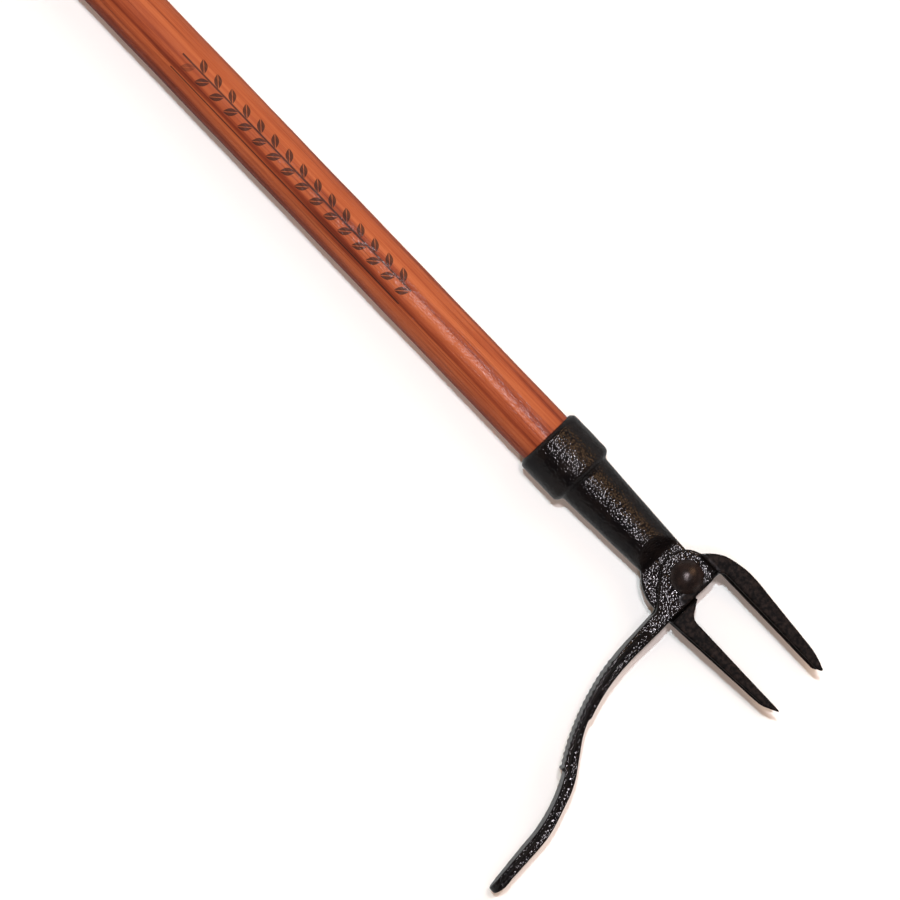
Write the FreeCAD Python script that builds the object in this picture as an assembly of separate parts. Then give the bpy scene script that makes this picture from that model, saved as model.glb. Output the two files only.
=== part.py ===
import FreeCAD, Part
import math
import os

from FreeCAD import Vector

# Stand-up weeder, in millimetres.  A wooden handle sits in the socket of a cast head that carries
# two fixed claws.  A cast foot lever, with a ribbed tread and two moving claws, straddles the
# head's tongue and turns on one bolt.  Leaning the handle over the lever closes the claws.
#
# The tool lies on its side: +Y runs up the handle, the foot lever points to -X, and +Z is up and
# along the pivot bolt.  Every shape is drawn from the point on the handle's axis at the upper end
# of the collar, and is moved at the end so that the origin is under the middle of the whole tool.

# Handle
HANDLE_R = 14.29
HANDLE_TOP = 972.5
HANDLE_END_ROUND = 9.0
HANDLE_FIT_TAPER = 0.4
TENON_BASE_R = 11.3
TENON_END_R = 9.3
TENON_END = -63.0

# Collar and tapered socket of the head
COLLAR_R = 17.6
COLLAR_LENGTH = 26.2
COLLAR_ROUND = 2.0
SOCKET_TOP_R = 14.0
SOCKET_END_R = 11.6
SOCKET_END = -80.0
SLOPE_TOP = -68.5
SLOPE_END = -78.0
SLOPE_STEP = 0.4

# Pivot, tongue and cheeks
PIVOT = Vector(2.1, -93.9, 0)
TONGUE_HALF = 4.1
CHEEK_IN = 4.4
CHEEK_OUT = 9.8
CHEEK_R = 13.1
HUB_FLAT = PIVOT.y - 10.0
TONGUE_EYE_R = 9.3
TONGUE_NECK_HALF = 11.2
BULGE_R = 21.3
FORK_R = 23.7
STOP_GAP = 0.4
SHOULDER_TOP = HUB_FLAT - STOP_GAP
BRIDGE_R = TONGUE_EYE_R + 0.45
BRIDGE_TOP = -91.5

# Claws
CLAW_TIP = -170.5
CLAW_OUTER_HALF = 14.0
CLAW_TIP_OUTER_HALF = 12.2
CLAW_INNER_HALF = 6.8
CLAW_TIP_INNER_HALF = 8.8
CLAW_GAP_ROUND = 6.0
FIXED_LEFT = -18.2
FIXED_RIGHT = -9.7
FIXED_CROTCH = -111.5
CROOK = Vector(-8.2, -109.2, 0)
CROOK_END = Vector(-0.7, SHOULDER_TOP, 0)
MOVING_LEFT = 16.1
MOVING_ROOT = Vector(14.4, -91.1, 0)

# Foot lever
ARM_TOP = Vector(-19.7, -95.7, 0)
ARM_HEADING = 183.6
NECK_RUN = 18.3
TREAD_ARC_R = 132.0
TREAD_ARC_TURN = 30.0
TREAD_PLATE = 2.2
TREAD_HALF = 13.0
ARM_BODY_HALF = 8.0
ARM_ROOT_X = -19.0
TOE_START = Vector(-103.8, -120.5, 0)
TOE_HEADING = 213.0
TOE_X = -167.8
TOOTH_R = 1.0
TOOTH_PITCH = 3.3
TOOTH_SINK = 0.45
TOOTH_START_TURN = 4.5

# Pivot bolt, washer and lock nut
BOLT_R = 4.0
BOLT_HEAD_R = 8.2
BOLT_HEAD_RISE = 4.6
BOLT_SQUARE = 8.0
BOLT_END = -17.2
EYE_CLEARANCE = 0.06
WASHER_R = 8.5
WASHER_THICK = 1.4
NUT_FLATS = 13.0
NUT_HEX_THICK = 4.0
NUT_COLLAR_R = 5.9
NUT_THICK = 5.4

# Screw that holds the handle in the socket, driven in from the underside
SCREW_Y = -48.0
SCREW_SEAT = -12.4
SCREW_HEAD_R = 4.2
SCREW_HEAD_RISE = 2.2
SCREW_R = 2.0
SCREW_REACH = 13.0
SCREW_POINT = 3.0
SCREW_SLOT = 1.0

# Cutting tools run this far past the part on every side
PAST = 20.0

Z = Vector(0, 0, 1)
Y = Vector(0, 1, 0)


def at(x, y, z=0.0):
    return Vector(x, y, z)


def run(start, end):
    return Part.LineSegment(start, end).toShape()


def bow(start, middle, end):
    return Part.Arc(start, middle, end).toShape()


def chain(points):
    """Straight edges that join the points in turn."""
    return [run(a, b) for a, b in zip(points, points[1:])]


def solid_between(edges, travel):
    """The solid that a closed outline sweeps along a straight travel."""
    return Part.Face(Part.Wire(edges)).extrude(travel)


def plate(edges, low, high):
    """A flat plate whose outline lies in the XY plane, from height low to height high."""
    lifted = [edge.translated(Z * low) for edge in edges]
    return solid_between(lifted, Z * (high - low))


def rod(radius, low, high, centre=PIVOT):
    return Part.makeCylinder(radius, high - low, at(centre.x, centre.y, low), Z)


def unit(angle):
    return at(math.cos(math.radians(angle)), math.sin(math.radians(angle)))


def trace(start, heading, moves, aside=0.0):
    """Edges of a smooth path of runs and arcs, and its end point and heading.

    A move is (length, 0) for a run or (radius, turn) for an arc, whose turn is positive to the
    left.  The whole path is moved aside to its left, and its arcs keep their centres.
    """
    edges = []
    here = start + unit(heading + 90) * aside
    for size, turn in moves:
        if turn == 0:
            there = here + unit(heading) * size
            edges.append(run(here, there))
        else:
            side = math.copysign(1, turn)
            radius = size - side * aside
            centre = here + unit(heading + 90) * (side * radius)
            middle = centre - unit(heading + turn / 2 + 90) * (side * radius)
            there = centre - unit(heading + turn + 90) * (side * radius)
            edges.append(bow(here, middle, there))
            heading += turn
        here = there
    return edges, here, heading


def turned_profile(points):
    """A solid of revolution about the handle's axis from points of (radius, y)."""
    outline = [at(radius, y) for radius, y in points]
    face = Part.Face(Part.Wire(chain(outline + outline[:1])))
    return face.revolve(Vector(0, 0, 0), Y, 360)


def socket_radius(y):
    share = (y + COLLAR_LENGTH) / (SOCKET_END + COLLAR_LENGTH)
    return SOCKET_TOP_R + (SOCKET_END_R - SOCKET_TOP_R) * share


def handle_blank():
    """The turned wooden handle: a tapered tenon, a long plain shaft and a rounded grip end."""
    flat_r = HANDLE_R - HANDLE_END_ROUND
    shoulder = HANDLE_TOP - HANDLE_END_ROUND
    mid = HANDLE_END_ROUND * math.sqrt(0.5)
    edges = chain([at(0, HANDLE_TOP), at(0, TENON_END), at(TENON_END_R - 1, TENON_END),
                   at(TENON_END_R, TENON_END + 1), at(TENON_BASE_R, 2 - COLLAR_LENGTH),
                   at(HANDLE_R - HANDLE_FIT_TAPER, 8 - COLLAR_LENGTH), at(HANDLE_R, 0),
                   at(HANDLE_R, shoulder)])
    edges.append(bow(at(HANDLE_R, shoulder), at(flat_r + mid, shoulder + mid), at(flat_r, HANDLE_TOP)))
    edges.append(run(at(flat_r, HANDLE_TOP), at(0, HANDLE_TOP)))
    return Part.Face(Part.Wire(edges)).revolve(Vector(0, 0, 0), Y, 360)


def handle_screw():
    """A pan-head wood screw through the socket's wall, with its point towards +Z."""
    head = Part.makeCylinder(SCREW_HEAD_R, SCREW_HEAD_RISE, at(0, SCREW_Y, SCREW_SEAT), -Z)
    crown = SCREW_SEAT - SCREW_HEAD_RISE
    rim = [edge for edge in head.Edges if abs(edge.CenterOfMass.z - crown) < 0.01]
    head = head.makeFillet(1.2, rim)
    shank_length = SCREW_REACH - SCREW_POINT
    shank = Part.makeCylinder(SCREW_R, shank_length, at(0, SCREW_Y, SCREW_SEAT), Z)
    point = Part.makeCone(SCREW_R, 0.3, SCREW_POINT, at(0, SCREW_Y, SCREW_SEAT + shank_length), Z)
    slot = Part.makeBox(SCREW_SLOT, 10, SCREW_SLOT, at(-SCREW_SLOT / 2, SCREW_Y - 5, crown))
    return head.fuse([shank, point]).removeSplitter().cut(slot)


def cast_claws(edges, crotch):
    """Two claws side by side from one side outline, parted by a gap that is round at its crotch."""
    block = plate(edges, -CLAW_OUTER_HALF, CLAW_OUTER_HALF)
    left = -3 * PAST
    beyond = CLAW_TIP - 5
    neck = crotch - CLAW_GAP_ROUND
    low_neck = at(left, neck, -CLAW_INNER_HALF)
    low_end = at(left, beyond, -CLAW_TIP_INNER_HALF)
    high_neck = at(left, neck, CLAW_INNER_HALF)
    high_end = at(left, beyond, CLAW_TIP_INNER_HALF)
    gap = [run(low_end, low_neck), bow(low_neck, at(left, crotch, 0), high_neck),
           run(high_neck, high_end), run(high_end, low_end)]
    travel = at(6 * PAST, 0)
    cuts = [solid_between(gap, travel)]
    taper_start = neck - 6
    for side in (-1, 1):
        corner = at(left, taper_start, side * CLAW_OUTER_HALF)
        waste = chain([corner, at(left, beyond, side * CLAW_TIP_OUTER_HALF), at(left, beyond, side * PAST),
                       at(left, taper_start, side * PAST), corner])
        cuts.append(solid_between(waste, travel))
    return block.cut(cuts)


def fixed_claws():
    """The head's claws and the shoulders under the lever, which stop it when the claws are open."""
    start = at(FIXED_LEFT, SHOULDER_TOP)
    outer, outer_end, _ = trace(start, -86, [(56.5, 0), (18, 26)])
    tip = at(-10.9, CLAW_TIP)
    inner_low = at(-10.3, CLAW_TIP + 1.1)
    throat = at(FIXED_RIGHT, -113)
    edges = outer + chain([outer_end, tip, inner_low, throat])
    edges.append(bow(throat, at(FIXED_RIGHT + 0.4, -111), CROOK))
    edges += chain([CROOK, CROOK_END, start])
    return cast_claws(edges, FIXED_CROTCH)


def slope_waste(side):
    """What is cut from one face of the socket to slope it down to the tongue."""
    high = side * (socket_radius(SLOPE_TOP) + SLOPE_STEP)
    low = side * TONGUE_HALF
    start = at(-PAST, SLOPE_TOP, high)
    outline = chain([start, at(-PAST, SLOPE_END, low), at(-PAST, SOCKET_END - 10, low),
                     at(-PAST, SOCKET_END - 10, side * PAST), at(-PAST, SLOPE_TOP, side * PAST), start])
    return solid_between(outline, at(2 * PAST, 0))


def tongue_blank():
    """The flat tongue round the pivot, with its bulge to the left and its shoulders below."""
    eye_right = PIVOT + at(TONGUE_EYE_R, 0)
    eye_low = PIVOT - at(0, TONGUE_EYE_R)
    bulge_left = PIVOT - at(BULGE_R, 0)
    bulge_top = PIVOT + unit(130) * BULGE_R
    neck_right = at(TONGUE_NECK_HALF, -70)
    neck_left = at(-TONGUE_NECK_HALF, -70)
    edges = [run(neck_right, eye_right), bow(eye_right, PIVOT + unit(-45) * TONGUE_EYE_R, eye_low)]
    edges += chain([eye_low, CROOK_END, CROOK, at(FIXED_LEFT + 1, CROOK.y),
                    at(FIXED_LEFT, SHOULDER_TOP), bulge_left])
    edges.append(bow(bulge_left, PIVOT + unit(155) * BULGE_R, bulge_top))
    edges += chain([bulge_top, neck_left, neck_right])
    return plate(edges, -TONGUE_HALF, TONGUE_HALF)


def socket_head(handle, screw):
    """The head casting: collar, tapered socket, flat tongue and the two fixed claws."""
    collar = turned_profile([(0, 0), (COLLAR_R - COLLAR_ROUND, 0), (COLLAR_R, -COLLAR_ROUND),
                             (COLLAR_R, COLLAR_ROUND - COLLAR_LENGTH),
                             (COLLAR_R - COLLAR_ROUND, -COLLAR_LENGTH), (0, -COLLAR_LENGTH)])
    cone = turned_profile([(0, -10), (SOCKET_TOP_R, -10), (SOCKET_TOP_R, -COLLAR_LENGTH),
                           (SOCKET_END_R, SOCKET_END), (0, SOCKET_END)])
    cone = cone.cut([slope_waste(-1), slope_waste(1)])
    casting = collar.fuse([cone, tongue_blank(), fixed_claws()]).removeSplitter()
    eye = rod(BOLT_R + EYE_CLEARANCE, -PAST, PAST)
    seat = Part.makeCylinder(SCREW_HEAD_R + 0.3, 10, at(0, SCREW_Y, SCREW_SEAT), -Z)
    screw_hole = Part.makeCylinder(SCREW_R + 0.2, PAST, at(0, SCREW_Y, -PAST), Z)
    return casting.cut([handle, eye, seat, screw_hole, screw])


def tread_path(aside):
    """The lever's upper edge in two stretches: the ribbed tread, then the plain toe."""
    moves = [(NECK_RUN, 0), (TREAD_ARC_R, TREAD_ARC_TURN)]
    tread, tread_end, _ = trace(ARM_TOP, ARM_HEADING, moves, aside)
    toe, toe_end, _ = trace(TOE_START, TOE_HEADING, [(75, -26.7), (33, 0)], aside)
    return tread, tread_end, toe, toe_end


def plan_prism(half_width_at):
    """A prism along Y whose plan is symmetric about the lever and rounded at the toe."""
    below = -160
    right = [at(x, below, half) for x, half in half_width_at]
    left = [at(p.x, p.y, -p.z) for p in reversed(right)]
    edges = chain(right) + [bow(right[-1], at(TOE_X, below, 0), left[0])] + chain(left)
    edges.append(run(left[-1], right[0]))
    return solid_between(edges, at(0, 6 * PAST))


def lever_arm():
    """The S-shaped arm: a wide tread plate along the top of a narrower body."""
    tread, tread_end, toe, toe_end = tread_path(0)
    top = tread + chain([tread_end, toe[0].Vertexes[0].Point]) + toe
    low_start = at(ARM_ROOT_X, HUB_FLAT)
    rib, rib_end, _ = trace(low_start, 181.2, [(24, 0), (97.5, 20.8)])
    low_moves = [(50, 15), (13.5, 0), (40, -17), (12, 0), (60, -15.5), (19.5, 0)]
    low, low_end, _ = trace(rib_end + at(-0.4, 0.8), 202, low_moves)
    toe_low = at(toe_end.x + 0.8, toe_end.y - 3.3)
    bottom = rib + chain([rib_end, low[0].Vertexes[0].Point]) + low
    nose = bow(low_end, at(toe_low.x + 2.6, toe_low.y - 0.9), toe_low)
    back = chain([toe_low, toe_end])
    outline = top + [run(ARM_TOP, low_start)] + bottom + [nose] + back
    side = plate(Part.__sortEdges__(outline), -TREAD_HALF, TREAD_HALF)

    under, under_end, under_toe, under_toe_end = tread_path(TREAD_PLATE)
    below = under + chain([under_end, under_toe[0].Vertexes[0].Point]) + under_toe
    far = TOE_X - 7
    floor = -150
    below += chain([under_toe_end, at(far, under_toe_end.y - 0.5), at(far, floor),
                    at(ARM_ROOT_X + 1, floor), under[0].Vertexes[0].Point])
    waste = plate(Part.__sortEdges__(below), -PAST, PAST)
    tread_plan = plan_prism([(ARM_ROOT_X, CHEEK_OUT), (-30, CHEEK_OUT), (-48, TREAD_HALF),
                             (-108, TREAD_HALF), (-162, 8.5)])
    body_plan = plan_prism([(ARM_ROOT_X, CHEEK_OUT), (-26, CHEEK_OUT), (-38, ARM_BODY_HALF),
                            (-140, ARM_BODY_HALF), (-161, 6)])
    return side.cut(waste).common(tread_plan).fuse(side.common(body_plan))


def tread_teeth():
    """Round ribs across the tread, evenly spaced round its arc, with a taller one at its end."""
    start = ARM_TOP + unit(ARM_HEADING) * NECK_RUN
    centre = start + unit(ARM_HEADING + 90) * TREAD_ARC_R
    step = math.degrees(TOOTH_PITCH / TREAD_ARC_R)
    count = int((TREAD_ARC_TURN - TOOTH_START_TURN) / step) + 1
    teeth = []
    for index in range(count):
        turn = TREAD_ARC_TURN + 0.3 - index * step
        sink = 0.0 if index == 0 else TOOTH_SINK
        foot = centre + unit(ARM_HEADING - 90 + turn) * (TREAD_ARC_R - sink)
        half = min(TREAD_HALF - 1, CHEEK_OUT + (-26 - foot.x) * 0.1)
        teeth.append(rod(TOOTH_R, -half, half, foot))
    return teeth


def moving_claws():
    """The lever's claws with the bar that joins them beside the cheeks."""
    outer, outer_end, _ = trace(MOVING_ROOT, -28, [(17, -44), (48, -22.8), (38, 0), (35, -20)])
    tip_low = at(outer_end.x - 0.7, CLAW_TIP)
    tip_left = at(outer_end.x - 1.5, CLAW_TIP + 0.5)
    inner_low = at(MOVING_LEFT, CLAW_TIP + 2.2)
    root_right = at(MOVING_LEFT, HUB_FLAT - 2)
    root_left = at(MOVING_LEFT - 2, HUB_FLAT)
    bar_low = at(13.9, HUB_FLAT)
    bar_top = at(13.9, MOVING_ROOT.y)
    edges = outer + [bow(outer_end, tip_low, tip_left)] + chain([tip_left, inner_low, root_right])
    edges.append(bow(root_right, at(MOVING_LEFT - 0.6, HUB_FLAT - 0.6), root_left))
    edges += chain([root_left, bar_low, bar_top, MOVING_ROOT])
    return cast_claws(edges, HUB_FLAT - 0.6)


def hub_web():
    """The flat web that runs from the hub's rim into the arm's neck, tangent to the rim."""
    reach = ARM_TOP - PIVOT
    lean = math.degrees(math.atan2(reach.y, reach.x) - math.acos(CHEEK_R / reach.Length))
    tangent = PIVOT + unit(lean) * CHEEK_R
    neck = ARM_TOP + unit(ARM_HEADING) * 10
    outline = chain([tangent, ARM_TOP, neck, at(neck.x, HUB_FLAT), at(PIVOT.x, HUB_FLAT), PIVOT, tangent])
    return plate(outline, -CHEEK_OUT, CHEEK_OUT)


def fork_bridge():
    """The bar beside the tongue that joins the two cheeks and carries the moving claws."""
    left = 8
    right = 16
    rim = PIVOT.x + BRIDGE_R
    outline = chain([at(left, HUB_FLAT), at(right, HUB_FLAT), at(right, BRIDGE_TOP), at(rim, BRIDGE_TOP),
                     at(rim, PIVOT.y), at(left, PIVOT.y), at(left, HUB_FLAT)])
    return plate(outline, -CHEEK_IN - 1, CHEEK_IN + 1).cut(rod(BRIDGE_R, -PAST, PAST))


def foot_lever():
    """The lever casting: forked hub, arm with its tread, bridge and the two moving claws."""
    hub = rod(CHEEK_R, -CHEEK_OUT, CHEEK_OUT).fuse([hub_web(), lever_arm()] + tread_teeth())
    below_hub = Part.makeBox(36, 10, 2 * PAST, at(-14, HUB_FLAT - 10, -PAST))
    slot = rod(FORK_R, -CHEEK_IN, CHEEK_IN)
    casting = hub.cut([below_hub, slot]).fuse([fork_bridge(), moving_claws()]).removeSplitter()
    half = BOLT_SQUARE / 2 + 0.05
    square = Part.makeBox(2 * half, 2 * half, PAST, PIVOT + at(-half, -half))
    return casting.cut([square, rod(BOLT_R + 0.1, -PAST, 0)])


def pivot_bolt():
    """A dome-headed bolt with a square neck that the front cheek keeps from turning."""
    rim = 0.7
    rise = BOLT_HEAD_RISE - rim
    ball_r = (BOLT_HEAD_R ** 2 + rise ** 2) / (2 * rise)
    ball = Part.makeSphere(ball_r, PIVOT + Z * (CHEEK_OUT + BOLT_HEAD_RISE - ball_r))
    head = rod(BOLT_HEAD_R, CHEEK_OUT, CHEEK_OUT + BOLT_HEAD_RISE + 1).common(ball)
    half = BOLT_SQUARE / 2
    neck = Part.makeBox(BOLT_SQUARE, BOLT_SQUARE, 5, PIVOT + at(-half, -half, CHEEK_OUT - 5))
    shank = rod(BOLT_R, BOLT_END + 0.8, CHEEK_OUT)
    point = Part.makeCone(BOLT_R - 0.8, BOLT_R, 0.8, at(PIVOT.x, PIVOT.y, BOLT_END), Z)
    return head.fuse([neck, shank, point]).removeSplitter()


def pivot_washer():
    return rod(WASHER_R, -CHEEK_OUT - WASHER_THICK, -CHEEK_OUT).cut(rod(BOLT_R + 0.3, -PAST, 0))


def pivot_nut():
    """A lock nut: a hexagon with a round collar on its outer side."""
    seat = -CHEEK_OUT - WASHER_THICK
    corner = NUT_FLATS / math.sqrt(3)
    corners = [PIVOT + unit(60 * index + 12) * corner for index in range(7)]
    hexagon = plate(chain(corners), seat - NUT_HEX_THICK, seat)
    bevel = Part.makeCone(corner - 1.1, corner + 1.6, NUT_HEX_THICK + 0.6,
                          at(PIVOT.x, PIVOT.y, seat - NUT_HEX_THICK), Z)
    collar = rod(NUT_COLLAR_R, seat - NUT_THICK, seat)
    return hexagon.common(bevel).fuse(collar).removeSplitter().cut(rod(BOLT_R + 0.02, -PAST, 0))


def build():
    screw = handle_screw()
    blank = handle_blank()
    nodes = {
        "handle_shaft": blank.cut(screw),
        "socket_head": socket_head(blank, screw),
        "handle_screw": screw,
        "foot_lever": foot_lever(),
        "pivot_bolt": pivot_bolt(),
        "pivot_washer": pivot_washer(),
        "pivot_nut": pivot_nut(),
    }
    box = Part.makeCompound(list(nodes.values())).optimalBoundingBox()
    shift = Vector(-box.Center.x, -box.Center.y, -box.ZMin)
    print("shift", shift, "size", box.XLength, box.YLength, box.ZLength)
    os.makedirs("parts", exist_ok=True)
    for name, shape in nodes.items():
        moved = shape.translated(shift)
        print(name, len(moved.Solids), moved.isValid(), round(moved.Volume))
        moved.exportStep("parts/%s.step" % name)


build()
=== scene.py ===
import math

import bmesh
import bpy
import numpy as np
from mathutils import Matrix, Vector


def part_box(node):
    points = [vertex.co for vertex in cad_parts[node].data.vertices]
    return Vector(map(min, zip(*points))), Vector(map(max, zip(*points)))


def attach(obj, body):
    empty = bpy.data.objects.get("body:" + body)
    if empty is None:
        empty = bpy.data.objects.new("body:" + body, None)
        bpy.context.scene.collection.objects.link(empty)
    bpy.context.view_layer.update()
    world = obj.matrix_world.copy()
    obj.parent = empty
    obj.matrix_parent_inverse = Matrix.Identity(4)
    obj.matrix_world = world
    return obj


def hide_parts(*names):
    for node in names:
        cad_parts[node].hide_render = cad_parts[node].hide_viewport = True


# Stand-up weeder, in metres.  The tool lies on the floor on its side: the handle runs along +Y, the
# foot lever points to -X, and +Z is up and along the pivot bolt.

MM = 0.001

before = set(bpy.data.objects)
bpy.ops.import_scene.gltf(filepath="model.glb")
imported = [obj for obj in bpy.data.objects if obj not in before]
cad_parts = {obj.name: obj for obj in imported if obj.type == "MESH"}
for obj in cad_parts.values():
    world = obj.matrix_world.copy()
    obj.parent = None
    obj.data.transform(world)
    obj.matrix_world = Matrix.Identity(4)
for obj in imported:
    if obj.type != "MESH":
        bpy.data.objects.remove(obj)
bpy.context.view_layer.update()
scene = bpy.context.scene

# Places read from the frame
shaft_low, shaft_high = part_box("handle_shaft")
head_low, head_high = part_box("socket_head")
nut_low, nut_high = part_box("pivot_nut")
AXIS_X = (shaft_low.x + shaft_high.x) / 2
AXIS_Z = (shaft_low.z + shaft_high.z) / 2
COLLAR_TOP = head_high.y
HANDLE_R = (shaft_high.x - shaft_low.x) / 2
PIVOT_X = (nut_low.x + nut_high.x) / 2
PIVOT_Y = (nut_low.y + nut_high.y) / 2


# ---------------------------------------------------------------------------------------------
# Material nodes


def set_stops(node, stops):
    """Colours at stops of (position, (r, g, b)) or greys at stops of (position, level)."""
    points = node.color_ramp.elements
    while len(points) < len(stops):
        points.new(0.5)
    for point, (position, colour) in zip(points, stops):
        point.position = position
        rgb = colour if isinstance(colour, tuple) else (colour,) * 3
        point.color = (*rgb, 1.0)


class Shader:
    """A material's node tree, with short calls for the nodes that the finishes share."""

    def __init__(self, name):
        self.material = bpy.data.materials.new(name)
        self.material.use_nodes = True
        self.tree = self.material.node_tree
        self.tree.nodes.clear()
        self.surface = self.node("ShaderNodeBsdfPrincipled")
        output = self.node("ShaderNodeOutputMaterial")
        self.tree.links.new(self.surface.outputs["BSDF"], output.inputs["Surface"])
        self.place = self.node("ShaderNodeTexCoord").outputs["Object"]

    def node(self, kind, **settings):
        node = self.tree.nodes.new(kind)
        for key, value in settings.items():
            setattr(node, key, value)
        return node

    def feed(self, socket, value):
        if isinstance(value, bpy.types.NodeSocket):
            self.tree.links.new(value, socket)
        else:
            socket.default_value = value

    def math(self, operation, a, b=0.0, clamp=False):
        node = self.node("ShaderNodeMath", operation=operation, use_clamp=clamp)
        self.feed(node.inputs[0], a)
        self.feed(node.inputs[1], b)
        return node.outputs[0]

    def times(self, a, b):
        return self.math("MULTIPLY", a, b)

    def plus(self, a, b):
        return self.math("ADD", a, b)

    def minus(self, a, b):
        return self.math("SUBTRACT", a, b)

    def largest(self, first, *others):
        for other in others:
            first = self.math("MAXIMUM", first, other)
        return first

    def smallest(self, first, *others):
        for other in others:
            first = self.math("MINIMUM", first, other)
        return first

    def fade(self, value, start, end):
        """0 before start, 1 past end, and even between them."""
        return self.math("DIVIDE", self.minus(value, start), end - start, clamp=True)

    def coordinates(self, source):
        node = self.node("ShaderNodeSeparateXYZ")
        self.feed(node.inputs[0], source)
        return node.outputs

    def stretch(self, scale, shift=(0.0, 0.0, 0.0), source=None):
        """The place in the object, scaled and shifted, so that a texture runs along one direction."""
        node = self.node("ShaderNodeMapping")
        self.feed(node.inputs["Vector"], source or self.place)
        self.feed(node.inputs["Location"], shift)
        self.feed(node.inputs["Scale"], scale)
        return node.outputs[0]

    def noise(self, scale, detail=2.0, rough=0.5, warp=0.0, source=None):
        node = self.node("ShaderNodeTexNoise")
        self.feed(node.inputs["Vector"], source or self.place)
        self.feed(node.inputs["Scale"], scale)
        self.feed(node.inputs["Detail"], detail)
        self.feed(node.inputs["Roughness"], rough)
        self.feed(node.inputs["Distortion"], warp)
        return node.outputs[0]

    def domes(self, scale):
        """A height of 0 at the middle of each random cell, falling off as the square of the distance."""
        node = self.node("ShaderNodeTexVoronoi", feature="F1")
        self.feed(node.inputs["Vector"], self.place)
        self.feed(node.inputs["Scale"], scale)
        distance = node.outputs["Distance"]
        return self.times(self.times(distance, distance), -1.0)

    def ramp(self, value, stops):
        node = self.node("ShaderNodeValToRGB")
        self.feed(node.inputs[0], value)
        set_stops(node, stops)
        return node.outputs[0]

    def mix(self, share, a, b):
        node = self.node("ShaderNodeMix", data_type="RGBA")
        self.feed(node.inputs["Factor"], share)
        sockets = [s for s in node.inputs if s.type == "RGBA"]
        for socket, value in zip(sockets, (a, b)):
            self.feed(socket, (*value, 1.0) if isinstance(value, tuple) else value)
        return [s for s in node.outputs if s.type == "RGBA"][0]

    def bump(self, height, distance, under=None):
        node = self.node("ShaderNodeBump")
        self.feed(node.inputs["Height"], height)
        self.feed(node.inputs["Distance"], distance)
        if under:
            self.feed(node.inputs["Normal"], under)
        return node.outputs[0]

    def finish(self, **sockets):
        """The material, with values or links set on the surface's sockets by name."""
        for key, value in sockets.items():
            name = key.replace("_", " ")
            if isinstance(value, tuple):
                value = (*value, 1.0)
            self.feed(self.surface.inputs[name], value)
        return self.material


def on_claws(s):
    """1 on the claws and beside their roots, where the coat is smoother and duller and a mottled brown
    reflection is painted into its colour, 0 elsewhere.
    """
    x, y, _ = s.coordinates(s.place)
    below_hub = s.fade(y, PIVOT_Y - 10.2 * MM, PIVOT_Y - 11.4 * MM)
    fixed = s.times(below_hub, s.fade(x, PIVOT_X - 26 * MM, PIVOT_X - 22 * MM))
    right_of_arm = s.fade(x, PIVOT_X - 11.5 * MM, PIVOT_X - 9 * MM)
    left_of_bridge = s.fade(x, PIVOT_X + 6 * MM, PIVOT_X + 3 * MM)
    below_bolt = s.fade(y, PIVOT_Y - 4 * MM, PIVOT_Y - 6 * MM)
    hub = s.times(below_bolt, s.times(right_of_arm, left_of_bridge))
    below_socket = s.fade(y, PIVOT_Y + 13 * MM, PIVOT_Y + 9 * MM)
    moving = s.times(below_socket, s.fade(x, PIVOT_X + 11.5 * MM, PIVOT_X + 14 * MM))
    return s.largest(fixed, hub, moving)


def hammered_black():
    """Glossy black powder coat with a pebbled grain, smoother and duller on the claws, where a mottled
    brown reflection is painted into its colour.
    """
    s = Shader("hammered_black")
    claws = on_claws(s)
    elsewhere = s.minus(1.0, s.times(claws, 0.8))
    pebbles = s.plus(s.times(s.domes(740.0), 0.8), s.times(s.domes(1180.0), 0.06))
    swell = s.times(s.noise(330.0, 3.0, 0.6), s.plus(s.times(claws, 1.6), 1.0))
    normal = s.bump(swell, 0.12 * MM)
    normal = s.bump(s.times(pebbles, elsewhere), 0.36 * MM, normal)

    patches = s.ramp(s.noise(150.0, 4.0, 0.6), [(0.38, 0.0), (0.62, 1.0)])
    colour = s.mix(patches, (0.0036, 0.0028, 0.0030), (0.0080, 0.0056, 0.0050))
    dust = s.ramp(s.noise(640.0, 4.0, 0.7), [(0.58, 0.0), (0.78, 1.0)])
    colour = s.mix(s.times(dust, 0.2), colour, (0.030, 0.023, 0.019))
    # Painted reflection: brown-grey patches on the claws stand in for the warm light that their faces
    # reflect.
    mottle = s.ramp(s.noise(520.0, 5.0, 0.65), [(0.42, 0.0), (0.66, 1.0)])
    mottled_reflection = s.mix(mottle, (0.0016, 0.0012, 0.0012), (0.0200, 0.0130, 0.0108))
    colour = s.mix(claws, colour, mottled_reflection)

    rough = s.plus(s.times(s.noise(220.0, 3.0), 0.08), 0.09)
    rough = s.plus(rough, s.times(claws, 0.46))
    shine = s.minus(0.5, s.times(claws, 0.37))
    return s.finish(Base_Color=colour, Roughness=rough, Normal=normal, Metallic=0.0, IOR=1.47,
                    Specular_IOR_Level=shine)


def dark_oxide():
    """Satin brown-black steel, as on the pivot bolt and the handle's screw."""
    s = Shader("dark_oxide")
    patches = s.ramp(s.noise(260.0, 4.0, 0.6), [(0.35, 0.0), (0.7, 1.0)])
    colour = s.mix(patches, (0.013, 0.0088, 0.0080), (0.034, 0.021, 0.017))
    rough = s.plus(s.times(s.noise(900.0, 3.0), 0.16), 0.20)
    normal = s.bump(s.noise(700.0, 3.0), 0.10 * MM)
    normal = s.bump(s.noise(2600.0, 2.0), 0.03 * MM, normal)
    return s.finish(Base_Color=colour, Roughness=rough, Normal=normal, Metallic=0.35)


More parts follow.
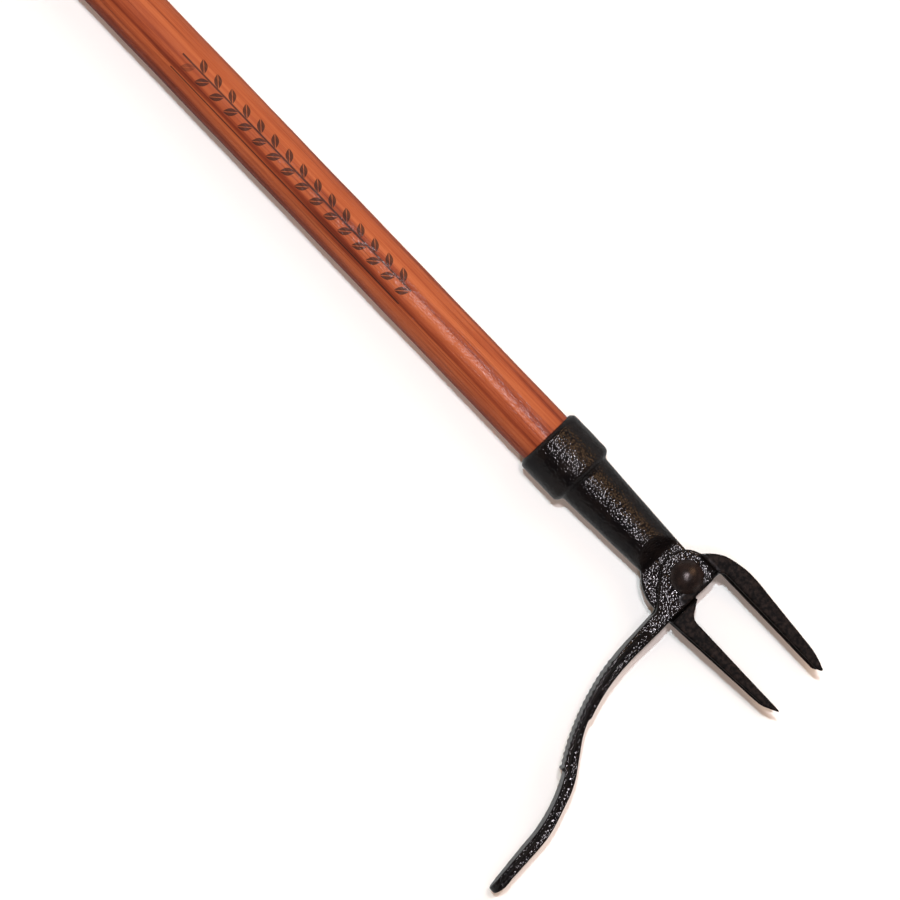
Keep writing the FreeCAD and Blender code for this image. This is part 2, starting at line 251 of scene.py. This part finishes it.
def dull_zinc():
    """Zinc plate that has gone grey, with small dark spots."""
    s = Shader("dull_zinc")
    clouds = s.ramp(s.noise(300.0, 4.0, 0.6), [(0.3, 0.0), (0.75, 1.0)])
    colour = s.mix(clouds, (0.33, 0.33, 0.32), (0.56, 0.55, 0.52))
    spots = s.ramp(s.noise(1300.0, 3.0, 0.6), [(0.62, 0.0), (0.72, 1.0)])
    colour = s.mix(s.times(spots, 0.7), colour, (0.12, 0.11, 0.10))
    rough = s.plus(s.times(s.noise(800.0, 3.0), 0.25), 0.28)
    normal = s.bump(s.noise(1800.0, 2.0), 0.04 * MM)
    return s.finish(Base_Color=colour, Roughness=rough, Normal=normal, Metallic=1.0)


def centred(s, value, weight):
    """A noise value moved to be about zero and scaled."""
    return s.times(s.minus(value, 0.5), weight)


# The sprig on the handle: where it starts and ends above the collar, and how far round the handle
# its stem and its rule lie from the top.  A leaf leans out from the stem, and leaves on the two
# sides take turns, one period apart on each side.
SPRIG_START = 94 * MM
SPRIG_END = 250 * MM
STEM_ASIDE = 1.2 * MM
STEM_HALF = 0.45 * MM
RULE_ASIDE = 8.6 * MM
RULE_HALF = 0.35 * MM
LEAF_PERIOD = 9.75 * MM
LEAF_START = 0.6 * MM
LEAF_LENGTH = 7.8 * MM
LEAF_HALF = 1.9 * MM
LEAF_LEAN = math.radians(42)
VEIN_HALF = 0.16 * MM
INK_EDGE = 0.08 * MM


def sprig_leaf(s, along, aside, side):
    """How far inside a leaf a place is; cut-off leaves at the sprig's two ends are left out."""
    shifted = s.plus(along, s.times(side, LEAF_PERIOD / 2))
    cell = s.times(s.math("FRACT", s.math("DIVIDE", shifted, LEAF_PERIOD)), LEAF_PERIOD)
    reach = s.plus(s.times(cell, math.cos(LEAF_LEAN)), s.times(aside, math.sin(LEAF_LEAN)))
    off = s.minus(s.times(aside, math.cos(LEAF_LEAN)), s.times(cell, math.sin(LEAF_LEAN)))
    off = s.math("ABSOLUTE", off)
    share = s.math("DIVIDE", s.minus(reach, LEAF_START), LEAF_LENGTH, clamp=True)
    width = s.times(s.math("SINE", s.times(share, math.pi)), LEAF_HALF)
    root = s.minus(along, cell)
    whole_low = s.plus(root, 0.2 * MM)
    whole_high = s.minus(SPRIG_END - SPRIG_START - LEAF_PERIOD, root)
    return s.smallest(s.minus(width, off), s.minus(off, VEIN_HALF), whole_low, whole_high)


def burnt_sprig(s, local):
    """1 on a plain leafy sprig and a thin rule burnt into the handle's upper side, 0 elsewhere."""
    x, y, z = s.coordinates(local)
    along = s.minus(y, COLLAR_TOP + SPRIG_START)
    arc = s.minus(s.times(s.math("ARCTAN2", x, z), HANDLE_R), STEM_ASIDE)
    aside = s.math("ABSOLUTE", arc)
    leaf = sprig_leaf(s, along, aside, s.math("GREATER_THAN", arc, 0.0))
    stem = s.minus(STEM_HALF, aside)
    rule = s.minus(RULE_HALF, s.math("ABSOLUTE", s.plus(arc, RULE_ASIDE)))
    ends = s.smallest(along, s.minus(SPRIG_END - SPRIG_START, along))
    ink = s.smallest(s.largest(leaf, stem, rule), ends)
    return s.fade(ink, -INK_EDGE, INK_EDGE)


def stained_wood():
    """Red-brown stain under varnish: streaks, grain lines and fibres that run along the handle."""
    s = Shader("stained_wood")
    local = s.stretch((1.0, 1.0, 1.0), (-AXIS_X, 0.0, -AXIS_Z))
    bands = s.noise(150.0, 2.0, 0.5, 0.15, s.stretch((1.0, 0.016, 0.45), (0.31, 0.0, 0.17), local))
    streaks = s.noise(420.0, 3.0, 0.55, 0.0, s.stretch((1.0, 0.020, 0.8), source=local))
    fibres = s.noise(1700.0, 3.0, 0.6, 0.0, s.stretch((1.0, 0.016, 1.0), source=local))
    clouds = s.noise(30.0, 2.0, 0.5, 0.0, s.stretch((1.0, 0.35, 1.0), source=local))
    tone = 0.5
    for value, weight in ((bands, 1.25), (streaks, 0.75), (fibres, 0.42), (clouds, 0.55)):
        tone = s.plus(tone, centred(s, value, weight))
    colour = s.ramp(tone, [(0.20, (0.105, 0.015, 0.006)), (0.40, (0.215, 0.036, 0.012)),
                           (0.56, (0.320, 0.066, 0.021)), (0.82, (0.440, 0.110, 0.036))])
    lines = s.noise(1000.0, 2.0, 0.5, 0.0, s.stretch((1.0, 0.010, 1.0), (0.7, 0.1, 0.3), local))
    lines = s.ramp(lines, [(0.59, 0.0), (0.68, 1.0)])
    colour = s.mix(s.times(lines, 0.45), colour, (0.105, 0.018, 0.007))
    faded = s.minus(0.93, s.times(fibres, 0.25))
    colour = s.mix(s.times(burnt_sprig(s, local), faded), colour, (0.012, 0.008, 0.007))

    rough = s.plus(s.times(s.noise(500.0, 3.0), 0.2), 0.45)
    normal = s.bump(s.minus(fibres, s.times(lines, 0.4)), 0.10 * MM)
    dips = s.noise(330.0, 3.0, 0.6, 0.0, s.stretch((1.0, 0.35, 1.0), source=local))
    normal = s.bump(dips, 0.45 * MM, normal)
    return s.finish(Base_Color=colour, Roughness=rough, Normal=normal, Coat_Normal=normal,
                    Metallic=0.0, Specular_IOR_Level=0.2, Coat_Weight=0.14, Coat_Roughness=0.15)


# ---------------------------------------------------------------------------------------------
# Pieces


def mesh_object(name, mesh, material, body, slot, *nodes):
    """Links a finished mesh as a piece that rides on a body and stands for CAD nodes."""
    obj = bpy.data.objects.new(name, mesh)
    scene.collection.objects.link(obj)
    mesh.materials.clear()
    mesh.materials.append(material)
    mesh.polygons.foreach_set("use_smooth", [True] * len(mesh.polygons))
    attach(obj, body)
    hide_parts(*nodes)


def evaluated(mesh, kind, **settings):
    """A new mesh with one modifier applied."""
    obj = bpy.data.objects.new("scratch", mesh)
    scene.collection.objects.link(obj)
    modifier = obj.modifiers.new(kind, kind)
    for key, value in settings.items():
        setattr(modifier, key, value)
    graph = bpy.context.evaluated_depsgraph_get()
    graph.update()
    result = bpy.data.meshes.new_from_object(obj.evaluated_get(graph), depsgraph=graph)
    bpy.data.objects.remove(obj)
    return result


def welded_copy(node):
    """A copy of a CAD node's mesh with its split vertices joined."""
    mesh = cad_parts[node].data.copy()
    work = bmesh.new()
    work.from_mesh(mesh)
    bmesh.ops.remove_doubles(work, verts=work.verts, dist=0.001 * MM)
    work.to_mesh(mesh)
    work.free()
    for layer in list(mesh.attributes):
        if layer.name == "custom_normal":
            mesh.attributes.remove(layer)
    return mesh


def read_vectors(collection, key):
    flat = np.zeros(len(collection) * 3, np.float32)
    collection.foreach_get(key, flat)
    return flat.reshape(-1, 3).astype(float)


# Each round of smoothing draws the vertices together and then part of the way back
DRAW_IN = 0.6
DRAW_BACK = -0.34


def relaxed(mesh, rounds, keep):
    """Rounds a mesh's edges, less where keep is near 1, and never past the box that it came in."""
    edges = np.zeros(len(mesh.edges) * 2, np.int32)
    mesh.edges.foreach_get("vertices", edges)
    a, b = edges.reshape(-1, 2).T
    co = read_vectors(mesh.vertices, "co")
    count = np.bincount(a, minlength=len(co)) + np.bincount(b, minlength=len(co))
    share = (1 - keep(co, read_vectors(mesh.vertex_normals, "vector")))[:, None]
    low, high = co.min(0), co.max(0)
    for pull in (DRAW_IN, DRAW_BACK) * rounds:
        total = np.stack([np.bincount(a, co[b, k], len(co)) + np.bincount(b, co[a, k], len(co))
                          for k in range(3)], 1)
        co = co + pull * share * (total / count[:, None] - co)
    co = np.clip(co, low, high)
    mesh.vertices.foreach_set("co", co.astype(np.float32).ravel())
    mesh.update()


def refined(node, voxel, rounds, keep):
    """A node's mesh made again in small even faces, with its edges rounded."""
    mesh = evaluated(welded_copy(node), "REMESH", mode="VOXEL", voxel_size=voxel)
    relaxed(mesh, rounds, keep)
    return mesh


# Each seed reads the random texture from its own place
SEED_SHIFT = Vector((0.013, 0.029, 0.017))


def uneven(mesh, depth, grain, seed):
    """Sinks the surface by a smooth random amount, at most depth, as a sand casting is uneven."""
    texture = bpy.data.textures.new("casting_%d" % seed, "CLOUDS")
    texture.noise_scale = grain
    texture.noise_depth = 1
    mover = bpy.data.objects.new("mover", None)
    scene.collection.objects.link(mover)
    mover.location = SEED_SHIFT * seed
    bpy.context.view_layer.update()
    result = evaluated(mesh, "DISPLACE", texture=texture, texture_coords="OBJECT",
                       texture_coords_object=mover, mid_level=1.0, strength=depth)
    bpy.data.objects.remove(mover)
    return result


def lathe(profile, sides, centre_x, centre_z):
    """A closed mesh turned about a line along Y from points of (radius, y)."""
    work = bmesh.new()
    rings = []
    for radius, y in profile:
        ring = []
        for k in range(sides):
            angle = 2 * math.pi * k / sides
            ring.append(work.verts.new((centre_x + radius * math.cos(angle), y,
                                        centre_z + radius * math.sin(angle))))
        rings.append(ring)
    for low, high in zip(rings, rings[1:]):
        for k in range(sides):
            n = (k + 1) % sides
            work.faces.new((low[k], high[k], high[n], low[n]))
    for ring, point in ((rings[0], profile[0]), (rings[-1], profile[-1])):
        hub = work.verts.new((centre_x, point[1], centre_z))
        for k in range(sides):
            n = (k + 1) % sides
            pair = (ring[k], ring[n]) if ring is rings[0] else (ring[n], ring[k])
            work.faces.new((hub, *pair))
    mesh = bpy.data.meshes.new("turned")
    work.to_mesh(mesh)
    work.free()
    return mesh


# The handle's hidden tenon and its rounded end, as they are in the CAD
TENON_END_R = 9.3 * MM
TENON_BASE_R = 11.3 * MM
TENON_BASE_DROP = 24.2 * MM
FIT_R = HANDLE_R - 0.4 * MM
FIT_DROP = 18.2 * MM
END_ROUND = 9.0 * MM
CENTRE_R = 0.5 * MM

# How the handle is turned: rings this far apart, of so many sides, never wider than in the CAD
RING_STEP = 4 * MM
HANDLE_SIDES = 96
WAVER = 0.04 * MM
END_INSET = 0.03 * MM
END_STEPS = 12


def handle_mesh():
    """The turned handle, a hair out of true, with its tenon hidden in the socket."""
    tenon_end = shaft_low.y
    top = shaft_high.y
    profile = [(CENTRE_R, tenon_end), (TENON_END_R - 1 * MM, tenon_end), (TENON_END_R, tenon_end + 1 * MM),
               (TENON_BASE_R, COLLAR_TOP - TENON_BASE_DROP), (FIT_R, COLLAR_TOP - FIT_DROP)]
    y = COLLAR_TOP
    while y < top - END_ROUND - 1 * MM:
        waver = WAVER * (math.sin(61 * y) + math.sin(143 * y + 1) - 2)
        profile.append((HANDLE_R + waver, y))
        y += RING_STEP
    for k in range(END_STEPS + 1):
        angle = math.radians(90 * k / END_STEPS)
        profile.append((HANDLE_R - END_INSET - END_ROUND * (1 - math.cos(angle)),
                        top - END_ROUND * (1 - math.sin(angle))))
    profile.append((CENTRE_R, top))
    return lathe(profile, HANDLE_SIDES, AXIS_X, AXIS_Z)


# How much of the sharpness is kept, where 1 is all of it
KEEP_TIPS = 0.92
KEEP_RIBS = 0.85
KEEP_FAR_HALF = 0.75


def keep_nothing(co, normals):
    return np.zeros(len(co))


def keep_tips(co, normals):
    """Spares the claws' thin ends, which rounding would shorten."""
    return np.clip((head_low.y + 30 * MM - co[:, 1]) / (20 * MM), 0, KEEP_TIPS)


def keep_lever(co, normals):
    """Also spares the small ribs on the tread's upper side and the thin far half of the arm."""
    x = co[:, 0] - AXIS_X
    on_tread = (x < -38 * MM) & (x > -106 * MM)
    faces_up = normals[:, 1] - 0.35 * normals[:, 0] > 0.45
    ribs = np.where(on_tread & faces_up, KEEP_RIBS, 0.0)
    far_half = np.clip((-95 * MM - x) / (25 * MM), 0, KEEP_FAR_HALF)
    return np.maximum(np.maximum(keep_tips(co, normals), far_half), ribs)


CASTING_VOXEL = 0.5 * MM
CASTING_ROUNDS = 20
CASTING_DEPTH = 0.16 * MM
CASTING_GRAIN = 6 * MM


def casting(node, keep, seed):
    """A cast node's mesh, with rounded edges and slightly uneven faces."""
    mesh = refined(node, CASTING_VOXEL, CASTING_ROUNDS, keep)
    return uneven(mesh, CASTING_DEPTH, CASTING_GRAIN, seed)


black = hammered_black()
oxide = dark_oxide()
zinc = dull_zinc()
wood = stained_wood()

mesh_object("handle", handle_mesh(), wood, "head", "stained_wood", "handle_shaft")
mesh_object("cast_socket_head", casting("socket_head", keep_tips, 1), black, "head", "black_casting",
            "socket_head")
mesh_object("cast_foot_lever", casting("foot_lever", keep_lever, 2), black, "lever", "black_casting",
            "foot_lever")
mesh_object("pivot_bolt_forged", refined("pivot_bolt", 0.25 * MM, 6, keep_nothing), oxide, "lever",
            "dark_hardware", "pivot_bolt")
mesh_object("handle_screw_driven", refined("handle_screw", 0.2 * MM, 2, keep_nothing), oxide, "head",
            "dark_hardware", "handle_screw")
mesh_object("pivot_washer_stamped", refined("pivot_washer", 0.2 * MM, 2, keep_nothing), zinc, "lever",
            "plated_hardware", "pivot_washer")
mesh_object("pivot_nut_locking", refined("pivot_nut", 0.2 * MM, 3, keep_nothing), zinc, "lever",
            "plated_hardware", "pivot_nut")


# ---------------------------------------------------------------------------------------------
# Floor, light and camera


# The floor lies just below the tool, so that the two share no plane
FLOOR_HALF = 20.0
FLOOR_DROP = 0.3 * MM


def floor():
    """A pale warm floor that the lamps burn out to white.  The black coat doesn't mirror it."""
    s = Shader("pale_floor")
    colour = s.mix(s.noise(4.0, 3.0), (0.92, 0.88, 0.82), (0.94, 0.90, 0.85))
    mesh = bpy.data.meshes.new("floor")
    corners = [(x * FLOOR_HALF, y * FLOOR_HALF, 0) for x, y in ((-1, -1), (1, -1), (1, 1), (-1, 1))]
    mesh.from_pydata(corners, [], [(0, 1, 2, 3)])
    mesh.materials.append(s.finish(Base_Color=colour, Roughness=0.75))
    obj = bpy.data.objects.new("floor", mesh)
    scene.collection.objects.link(obj)
    obj.location.z = -FLOOR_DROP
    obj.visible_glossy = False


def placed_light(name, kind, direction, power, colour):
    """A lamp of one kind that shines in a direction."""
    light = bpy.data.lights.new(name, kind)
    light.energy = power
    light.color = colour
    obj = bpy.data.objects.new(name, light)
    scene.collection.objects.link(obj)
    obj.rotation_euler = Vector(direction).to_track_quat("-Z", "Y").to_euler()
    return obj


def area_light(name, place, target, size, power, colour):
    obj = placed_light(name, "AREA", target - Vector(place), power, colour)
    obj.location = place
    obj.data.shape = "DISK"
    obj.data.size = size


def diffuse_sun(name, direction, power, angle, colour):
    """A sun of an angular size in degrees that lights the scene without showing in the gloss."""
    obj = placed_light(name, "SUN", direction, power, colour)
    obj.data.angle = math.radians(angle)
    obj.visible_glossy = False


# The point that the camera and the lamps face
LOOK_AT = Vector((0.0345, -0.3738, 0.0176))

# Two small lamps near the camera make the coat's bright specks, and a third at the side warms the
# collar.  The noon sun and the wide warm one give the short tan shadow.
SPECK_LAMP = 0.13
SPECK_COLOUR = (1.0, 0.93, 1.0)

floor()
area_light("key", (0.30, -0.32, 2.0), LOOK_AT, SPECK_LAMP, 14.0, SPECK_COLOUR)
area_light("second_key", (-0.12, -0.66, 2.0), LOOK_AT, SPECK_LAMP, 5.0, SPECK_COLOUR)
area_light("warm_side", (1.15, -0.5, 1.1), LOOK_AT, 0.8, 4.0, (1.0, 0.60, 0.32))
diffuse_sun("side_sun", (-0.85, -0.06, -1.0), 0.5, 35.0, (1.0, 0.95, 0.90))
diffuse_sun("noon_sun", (-0.073, -0.186, -1.0), 1.5, 1.5, (0.82, 1.0, 1.12))
diffuse_sun("fill_sun", (-0.2, 0.1, -1.0), 0.95, 150.0, (1.0, 0.68, 0.48))

# The studio's brightness from straight down, 0, past the horizon, 0.5, to straight up, 1
STUDIO_LEVELS = ((0.0, 0.32), (0.25, 0.22), (0.49, 0.10), (0.502, 0.95), (0.545, 0.85),
                 (0.57, 0.14), (0.75, 0.02))


def studio_world():
    """A plain studio: a pale strip of wall at the horizon, a dim ceiling and a dim ground."""
    world = bpy.data.worlds.new("studio")
    scene.world = world
    world.use_nodes = True
    nodes, links = world.node_tree.nodes, world.node_tree.links
    split = nodes.new("ShaderNodeSeparateXYZ")
    half = nodes.new("ShaderNodeMath")
    half.operation = "MULTIPLY_ADD"
    half.inputs[1].default_value = 0.5
    half.inputs[2].default_value = 0.5
    ramp = nodes.new("ShaderNodeValToRGB")
    links.new(nodes.new("ShaderNodeTexCoord").outputs["Generated"], split.inputs[0])
    links.new(split.outputs["Z"], half.inputs[0])
    links.new(half.outputs[0], ramp.inputs[0])
    links.new(ramp.outputs[0], nodes["Background"].inputs["Color"])
    set_stops(ramp, STUDIO_LEVELS)


studio_world()
scene.view_settings.view_transform = "Standard"

# The camera looks down at the tool's side, leaning 2.2 degrees towards the lever, with the handle
# running up to the left.
VIEW_DISTANCE = 1.8
LEAN = 0.038
LENS = 151.2
SENSOR = 36.0
VIEW_REACH = 20.0
RIGHT_IN_VIEW = Vector((0.722, -0.692, 0.0))


def place_camera():
    data = bpy.data.cameras.new("camera")
    data.lens = LENS
    data.sensor_width = SENSOR
    data.clip_end = VIEW_REACH
    camera = bpy.data.objects.new("camera", data)
    scene.collection.objects.link(camera)
    scene.camera = camera
    place = LOOK_AT + Vector((-LEAN, 0, 1)).normalized() * VIEW_DISTANCE
    forward = (LOOK_AT - place).normalized()
    right = (RIGHT_IN_VIEW - RIGHT_IN_VIEW.dot(forward) * forward).normalized()
    up = right.cross(forward)
    turn = Matrix((right, up, -forward)).transposed().to_4x4()
    camera.matrix_world = Matrix.Translation(place) @ turn


place_camera()
